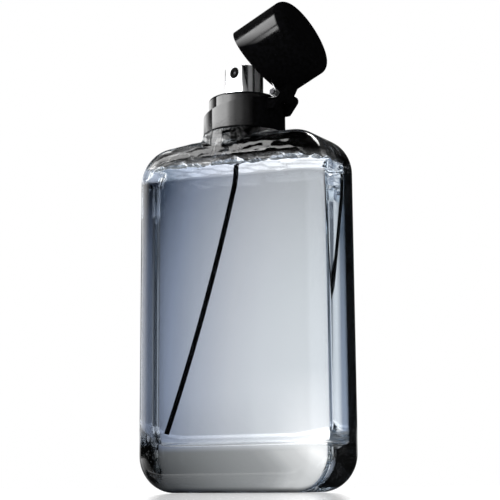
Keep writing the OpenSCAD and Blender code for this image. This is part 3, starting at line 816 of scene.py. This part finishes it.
def body_painted_shade(material, x, y, z, level):
    """Painted shade beside the liquid, deepest at the left end, and its places with more painted shade or
    painted light.
    """
    uneven = noise(material, SHADE_AND_TONE_CELLS, 1.0)
    uneven = arithmetic(material, "MULTIPLY_ADD", uneven, 2 * SHADE_UNEVEN * MM, -SHADE_UNEVEN * MM)
    rise = arithmetic(material, "DIVIDE", z, LIQUID_LEVEL * MM)
    rise = arithmetic(material, "POWER", rise, SHADE_ABOVE_POWER)
    lean = arithmetic(material, "MULTIPLY_ADD", rise, -SHADE_LEAN * MM, uneven)
    place = mm_between(material, arithmetic(material, "ADD", x, lean), -SHADE_REACH, BODY_W / 2)
    # Painted shade: darker towards the left end of the glass
    painted_light_and_shade = ramp(material, place, BODY_PAINTED_SHADE)
    # Painted shade: darker towards the top and the right
    high = product(material, rise, arithmetic(material, "ADD", place, SHADE_ABOVE_LEFT), SHADE_ABOVE)
    painted_light_and_shade = mixed(material, high, painted_light_and_shade, 0.0)
    left = arithmetic(material, "SUBTRACT", 1.0, place)
    # Painted shade: darker low down on the left
    low = product(material, mm_between(material, z, *LOW_Z), SHADE_BELOW, left)
    painted_light_and_shade = mixed(material, low, painted_light_and_shade, 0.0)
    # Painted light: lighter low down on the right
    glow = product(material, mm_between(material, z, *GLOW_Z), mm_between(material, x, *GLOW_X))
    painted_light_and_shade = mixed(material, glow, painted_light_and_shade, 1.0)
    # Painted shade: a dark strip at the front of the left end, deepest high up
    rising = mm_between(material, z, *STRIP_RISE)
    rising = arithmetic(material, "MULTIPLY_ADD", rising, STRIP_SHADE_HIGH - STRIP_SHADE, STRIP_SHADE)
    strip = product(material, at_left_end(material, x, y, STRIP_END, STRIP_Y), rising)
    painted_light_and_shade = mixed(material, strip, painted_light_and_shade, 0.0)
    # Painted light: a clear strip at the very left end in front
    painted_light_and_shade = mixed(material, at_left_end(material, x, y, LIT_END, LIT_Y), painted_light_and_shade, PAINTED_LIGHT_TINT)
    # Painted light: a pale band a little below the liquid's level at the front
    band = mm_between(material, level, LIQUID_LEVEL - BAND_BELOW[0], LIQUID_LEVEL - BAND_BELOW[1])
    band = product(material, band, mm_between(material, y, *BAND_Y))
    return mixed(material, band, painted_light_and_shade, PAINTED_LIGHT_TINT)


def shoulder_painted_shade(material, x):
    # Painted highlights: lighter swirls in the shoulder's painted shade
    swirl = arithmetic(material, "SUBTRACT", noise(material, SWIRL_CELLS, SWIRL_DETAIL), 0.5)
    swirl = between(material, arithmetic(material, "ABSOLUTE", swirl), *SWIRL_WIDTH)
    swirled = mixed(material, swirl, SHOULDER_SHADE, 1.0)
    # Painted shade: deepest on the right of the shoulder
    return mixed(material, mm_between(material, x, *SWIRL_END), swirled, SHOULDER_DARK)


def base_painted_shade(material, x, y, z):
    # Painted shade: darkest on the left of the base, leaning to the right as it rises
    foot = arithmetic(material, "SUBTRACT", x, FOOT_LEAN * MM)
    foot = arithmetic(material, "MULTIPLY_ADD", z, FOOT_LEAN / BASE_T, foot)
    foot = arithmetic(material, "MULTIPLY_ADD", mm_between(material, y, *FOOT_Y), FOOT_BEHIND * MM, foot)
    return ramp(material, mm_between(material, foot, -BODY_W / 2, BODY_W / 2), BASE_PAINTED_SHADE)


def rear_edge(material, x, y, z, above):
    """1 along the rear edge of the right side, and farther forward in the base, 0 elsewhere."""
    dip = arithmetic(material, "MAXIMUM", arithmetic(material, "SUBTRACT", CORNER_R * MM, z), 0.0)
    dip = arithmetic(material, "DIVIDE", product(material, dip, dip), 2 * CORNER_R * MM)
    end = arithmetic(material, "ADD", x, dip)
    right = mm_between(material, end, BODY_W / 2 - REAR_END[0], BODY_W / 2 - REAR_END[1])
    ahead = arithmetic(material, "ADD", y, REAR_STEP * MM)
    ahead = arithmetic(material, "MULTIPLY_ADD", above, -REAR_STEP * MM, ahead)
    return product(material, right, mm_between(material, ahead, *REAR_Y))


def glass_material():
    """Thick glass with painted shade towards one end and along the rear edge of the other, most of all in
    the base, and painted light in places.
    """
    material, shader = new_material("clear_glass")
    set_values(shader, IOR=GLASS_IOR, Roughness=0.0, Transmission_Weight=1.0)
    x, y, z = object_parts(material)
    level = arithmetic(material, "MULTIPLY_ADD", x, SURFACE_SLOPE, z)
    shoulder = mm_between(material, level, *(LIQUID_LEVEL + rise for rise in SHOULDER_RISE))
    body = mixed(material, shoulder, body_painted_shade(material, x, y, z, level), shoulder_painted_shade(material, x))
    above = mm_between(material, z, BASE_T - BASE_FADE, BASE_T)
    painted_light_and_shade = mixed(material, above, base_painted_shade(material, x, y, z), body)
    # Painted shade: black in the front left corner of the base
    corner = at_left_end(material, x, y, CORNER_END, STRIP_Y)
    corner = product(material, corner, mm_between(material, z, BASE_T + CORNER_RISE, BASE_T))
    painted_light_and_shade = mixed(material, corner, painted_light_and_shade, CORNER_SHADE)
    # Painted shade: black along the rear edge of the right side
    painted_light_and_shade = mixed(material, rear_edge(material, x, y, z, above), painted_light_and_shade, REAR_SHADE)
    link(material, painted_light_and_shade, shader.inputs["Base Color"])
    halves = ((BODY_W - SIDE_WALL) / 2, (BODY_T - FACE_WALL) / 2)
    span = (BASE_T - WET_BELOW, LIQUID_LEVEL + MENISCUS / 2)
    wet = inside(material, (x, y, level), halves, (EDGE_R + CAVITY_EDGE_R) / 2, span)
    link(material, arithmetic(material, "SUBTRACT", 1.0, wet), shader.inputs["Alpha"])
    ripples = product(material, noise(material, RIPPLE_CELLS, 1.0), shoulder, SHOULDER_RIPPLE)
    wavy = arithmetic(material, "ADD", noise(material, WAVE_CELLS, 1.0), ripples)
    bump(material, shader, wavy, GLASS_WAVE)
    absorb(material, GLASS_TINT, GLASS_DENSITY)
    return material


def liquid_material():
    """Pale spirit whose wall against the glass bends the light less than its surface in the air."""
    material, shader = new_material("liquid")
    set_values(shader, IOR=LIQUID_IOR, Roughness=0.0, Transmission_Weight=1.0)
    colours = [(0.3, (0.93, 0.955, 0.985)), (0.7, (0.95, 0.97, 0.99))]
    link(material, ramp(material, noise(material, SHADE_AND_TONE_CELLS, 1.0), colours), shader.inputs["Base Color"])
    wall = INTO_GLASS / 2
    halves = (BODY_W / 2 - SIDE_WALL + wall, BODY_T / 2 - FACE_WALL + wall)
    span = (LIQUID_LEVEL - SURFACE_BELOW, GLASS_TOP)
    surface = inside(material, object_parts(material), halves, CAVITY_EDGE_R + wall, span)
    bend = arithmetic(material, "MULTIPLY_ADD", surface, LIQUID_IOR - WALL_BEND, WALL_BEND)
    link(material, bend, shader.inputs["IOR"])
    return material


def lacquer_material(name, rough=0.05, dull=()):
    """Black gloss lacquer with a fine orange peel, duller from one place to another along some axes."""
    material, shader = new_material(name)
    colours = [(0.35, (0.001, 0.001, 0.001)), (0.65, (0.002, 0.002, 0.0023))]
    link(material, ramp(material, noise(material, 900), colours), shader.inputs["Base Color"])
    roughness = ranged(material, noise(material, 400), rough * 0.6, rough * 1.4)
    link(material, roughness, shader.inputs["Roughness"])
    bump(material, shader, noise(material, 1500, 2.0), LACQUER_PEEL)
    share = 0.0
    for axis, shiny_at, dull_at in dull:
        place = along(material, object_place(material), axis)
        share = arithmetic(material, "MAXIMUM", share, mm_between(material, place, shiny_at, dull_at))
    if dull:
        shine = arithmetic(material, "MULTIPLY_ADD", share, -LACQUER_SHINE, LACQUER_SHINE)
        link(material, shine, shader.inputs["Specular IOR Level"])
    return material


def moulded_material(name, dark, light, rough, shine=0.5):
    """Moulded plastic or rubber with a fine grain."""
    material, shader = new_material(name)
    set_values(shader, Specular_IOR_Level=shine)
    colour = ramp(material, noise(material, 700), [(0.3, dark), (0.7, light)])
    link(material, colour, shader.inputs["Base Color"])
    roughness = ranged(material, noise(material, 1200), rough * 0.85, rough * 1.15)
    link(material, roughness, shader.inputs["Roughness"])
    bump(material, shader, noise(material, 4000, 2.0), MOULDED_GRAIN)
    return material


def metal_material(name, dark, light, rough, stretch=(1, 1, 1)):
    """Plated or drawn metal with faint lines along its stretch."""
    material, shader = new_material(name)
    set_values(shader, Metallic=1.0)
    lines = noise(material, 2500, 2.0, stretch)
    link(material, ramp(material, lines, [(0.3, dark), (0.7, light)]), shader.inputs["Base Color"])
    link(material, ranged(material, lines, rough * 0.7, rough * 1.3), shader.inputs["Roughness"])
    return material


def from_nozzle(material):
    """Distance from the nozzle's axis, in metres."""
    centre = (NOZZLE_LOW + NOZZLE_HIGH) / 2 * MM
    away = node(material, "ShaderNodeVectorMath")
    away.operation = "DISTANCE"
    link(material, stretched(material, object_place(material), (1, 0, 1)), away.inputs[0])
    away.inputs[1].default_value = (centre.x, 0, centre.z)
    return away.outputs["Value"]


def sleeve_material():
    """Chrome with duller upright bands on its round side and painted shade in a ring around the nozzle."""
    material = metal_material("chrome", (0.78, 0.79, 0.8), (0.86, 0.87, 0.88), 0.07, (1, 1, 0.05))
    shader = material.node_tree.nodes["Principled BSDF"]
    x, y, _ = object_parts(material)
    angle = arithmetic(material, "ARCTAN2", y, x)
    right = math.radians(VIEW_TURN)
    round_side = between(material, angle, right - math.pi / 2, right)
    bands = ramp(material, round_side, grey_stops(CHROME_BANDS))
    link(material, bands, shader.inputs["Roughness"])
    chrome = arithmetic(material, "MULTIPLY_ADD", bands, -CHROME_LOSS, CHROME_FULL)
    link(material, chrome, shader.inputs["Metallic"])
    plating = shader.inputs["Base Color"].links[0].from_socket
    # Painted shade: a dark ring in the chrome around the nozzle
    edge = (NOZZLE_HIGH.x - NOZZLE_LOW.x) / 2 + NOZZLE_SHADE_RING
    ring_shade = mm_between(material, from_nozzle(material), edge + SHADE_RING_FADE, edge)
    ring_shade = product(material, ring_shade, arithmetic(material, "LESS_THAN", y, 0.0))
    link(material, mixed(material, ring_shade, plating, SHADE_RING_TINT), shader.inputs["Base Color"])
    return material


def nozzle_material():
    """Black insert, grey in its dished middle."""
    material, shader = new_material("nozzle_plastic")
    grey_middle = mm_between(material, from_nozzle(material), *NOZZLE_GREY_MIDDLE)
    colour = ramp(material, grey_middle, [(0.0, (0.16, 0.16, 0.17)), (1.0, (0.006, 0.006, 0.006))])
    link(material, colour, shader.inputs["Base Color"])
    link(material, ranged(material, noise(material, 1500), 0.3, 0.45), shader.inputs["Roughness"])
    set_values(shader, Specular_IOR_Level=0.02)
    return material


# Pieces on their bodies
def finish_piece(piece, body, material, replaced=()):
    piece.data.materials.clear()
    piece.data.materials.append(material)
    piece.data.shade_smooth()
    if replaced:
        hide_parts(*replaced)
    if body:
        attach(piece, body)


def paint(names, material):
    """Gives CAD nodes a material."""
    for name in names:
        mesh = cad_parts[name].data
        mesh.materials.clear()
        mesh.materials.append(material)


# Stage
def add_floor():
    size = 4.0
    sunk = 0.00005
    mesh = bpy.data.meshes.new("floor")
    corners = [(-size, -size, -sunk), (size, -size, -sunk), (size, size, -sunk), (-size, size, -sunk)]
    mesh.from_pydata(corners, [], [(0, 1, 2, 3)])
    floor = bpy.data.objects.new("floor", mesh)
    bpy.context.scene.collection.objects.link(floor)
    material, shader = new_material("floor")
    set_values(shader, Roughness=0.08, IOR=1.45)
    path = node(material, "ShaderNodeLightPath").outputs
    through = path["Is Transmission Ray"]
    mirrored = arithmetic(material, "SUBTRACT", path["Is Glossy Ray"], through)
    link(material, mixed(material, mirrored, FLOOR_PALE, FLOOR_MIRRORED), shader.inputs["Base Color"])
    seen = arithmetic(material, "MAXIMUM", path["Is Camera Ray"], through)
    lift = arithmetic(material, "MULTIPLY_ADD", through, FLOOR_IN_LIQUID - FLOOR_LIFT, FLOOR_LIFT)
    shader.inputs["Emission Color"].default_value = (1, 1, 1, 1)
    link(material, product(material, seen, lift), shader.inputs["Emission Strength"])
    mesh.materials.append(material)


def add_softbox(name, place, aim, width, height, power):
    """Area light at a place, turned to a point, both in millimetres."""
    data = bpy.data.lights.new(name, "AREA")
    data.shape = "RECTANGLE"
    data.size = width * MM
    data.size_y = height * MM
    data.energy = power
    light = bpy.data.objects.new(name, data)
    light.location = Vector(place) * MM
    light.rotation_mode = "QUATERNION"
    light.rotation_quaternion = (Vector(aim) - Vector(place)).to_track_quat("-Z", "Y")
    light.visible_glossy = False
    light.visible_transmission = False
    bpy.context.scene.collection.objects.link(light)


def from_view(right, away, up):
    """Point at distances to the right of, behind and above the bottle's foot, as the photograph sees it."""
    return VIEW_RIGHT * right + VIEW_AWAY * away + UP * up


def graded(tree, angle, levels):
    """Grey levels at angles in degrees, even in between."""
    first = levels[0][0]
    span = levels[-1][0] - first
    stops = [((at - first) / span, level) for at, level in levels]
    place = arithmetic(tree, "DIVIDE", arithmetic(tree, "SUBTRACT", angle, first), span)
    return ramp(tree, place, grey_stops(stops))


def room_through_glass(tree, turned, raised):
    """What the glass shows: pale walls, dim at the sides, and a dark ceiling."""
    return product(tree, graded(tree, turned, WALL_LEVELS), graded(tree, raised, HEIGHT_LEVELS))


def room_in_gloss(tree, turned, raised):
    """What gloss mirrors: a dark room with a window on the left, a lamp high up and a pale skirting."""
    window = mixed(
        tree, between(tree, raised, *WINDOW_STEP),
        graded(tree, turned, WINDOW_LEVELS), graded(tree, turned, UPPER_LEVELS),
    )
    window = mixed(tree, between(tree, raised, *WINDOW_HALF), window, graded(tree, turned, TOP_LEVELS))
    lamp = mixed(tree, between(tree, raised, *LAMP_TOP), graded(tree, turned, LAMP_LEVELS), ROOM_LEVEL)
    window = mixed(tree, between(tree, raised, *WINDOW_TOP), window, lamp)
    skirting = mixed(
        tree, between(tree, raised, *FOOT_RISE),
        graded(tree, turned, SKIRT_LEVELS), graded(tree, turned, RIM_LEVELS),
    )
    return mixed(tree, between(tree, raised, *WINDOW_SILL), skirting, window)


def add_world():
    """White to the camera, a plain grey light on everything and a room in gloss and glass."""
    world = bpy.data.worlds.new("studio")
    bpy.context.scene.world = world
    world.use_nodes = True
    direction = node(world, "ShaderNodeTexCoord").outputs["Generated"]
    right = along(world, direction, VIEW_RIGHT)
    away = along(world, direction, VIEW_AWAY)
    turned = arithmetic(world, "DEGREES", arithmetic(world, "ARCTAN2", right, away))
    raised = arithmetic(world, "DEGREES", arithmetic(world, "ARCSINE", along(world, direction, UP)))
    path = node(world, "ShaderNodeLightPath").outputs
    seen = mixed(world, path["Is Glossy Ray"], ROOM_LIGHT, room_in_gloss(world, turned, raised))
    seen = mixed(world, path["Is Transmission Ray"], seen, room_through_glass(world, turned, raised))
    seen = mixed(world, path["Is Camera Ray"], seen, 1.0)
    background = world.node_tree.nodes["Background"]
    link(world, seen, background.inputs["Color"])
    background.inputs["Strength"].default_value = 1.0


def add_lights():
    middle = from_view(0, 0, SOFTBOX_AIM)
    for name, (place, size, power) in SOFTBOXES.items():
        add_softbox(name, from_view(*place), middle, *size, power)


bpy.context.scene.view_settings.view_transform = "Standard"
for bounces in ("max_bounces", "glossy_bounces", "transmission_bounces", "transparent_max_bounces"):
    setattr(bpy.context.scene.cycles, bounces, LIGHT_BOUNCES)
add_camera()
add_flask(glass_material())
add_liquid(liquid_material())
steel = metal_material("spring_steel", (0.6, 0.61, 0.62), (0.75, 0.76, 0.77), 0.2)
dark_steel = metal_material("dark_steel", (0.04, 0.04, 0.045), (0.08, 0.08, 0.085), 0.3)
tin = metal_material("ferrule_metal", (0.6, 0.6, 0.61), (0.7, 0.7, 0.71), 0.25)
tube_black = moulded_material("black_tube", (0.006, 0.007, 0.008), (0.012, 0.013, 0.015), 0.25, 0.05)
pump_plastic = moulded_material("pump_plastic", (0.02, 0.02, 0.022), (0.03, 0.03, 0.032), 0.4)
pale_plastic = moulded_material("pale_plastic", (0.55, 0.56, 0.58), (0.65, 0.66, 0.68), 0.4)
rubber = moulded_material("seal_rubber", (0.4, 0.4, 0.38), (0.5, 0.5, 0.47), 0.6)
liner_plastic = moulded_material("liner_plastic", (0.008, 0.008, 0.009), (0.014, 0.014, 0.015), 0.35)
paint(["seat_ring"], lacquer_material("black_lacquer"))
cap_edge = max(v.co.dot(CAP_AXIS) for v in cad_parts["cap_shell"].data.vertices) / MM - CAP_EDGE_R
cap_dull = [(UP, CAP_SHINE_Z, CAP_DULL_Z), (CAP_AXIS, cap_edge - CAP_EDGE_FADE, cap_edge)]
paint(["cap_shell"], lacquer_material("cap_lacquer", 0.13, cap_dull))
collar_dull = [(Vector((1, 0, 0)), COLLAR_R - LUG_DULL[0], COLLAR_R - LUG_DULL[1])]
paint(["collar_ring"], lacquer_material("collar_lacquer", dull=collar_dull))
paint(["actuator_sleeve"], sleeve_material())
add_return_spring(steel)
add_hinge_spring(steel)
paint(["check_ball"], steel)
paint(["hinge_pin"], dark_steel)
paint(["crimp_ferrule"], tin)
paint(["dip_tube"], tube_black)
paint(["pump_housing", "stem_guide", "collar_liner", "actuator_core"], pump_plastic)
paint(["piston", "pump_stem"], pale_plastic)
paint(["neck_gasket"], rubber)
paint(["cap_liner"], liner_plastic)
paint(["nozzle_insert"], nozzle_material())
add_floor()
add_world()
add_lights()
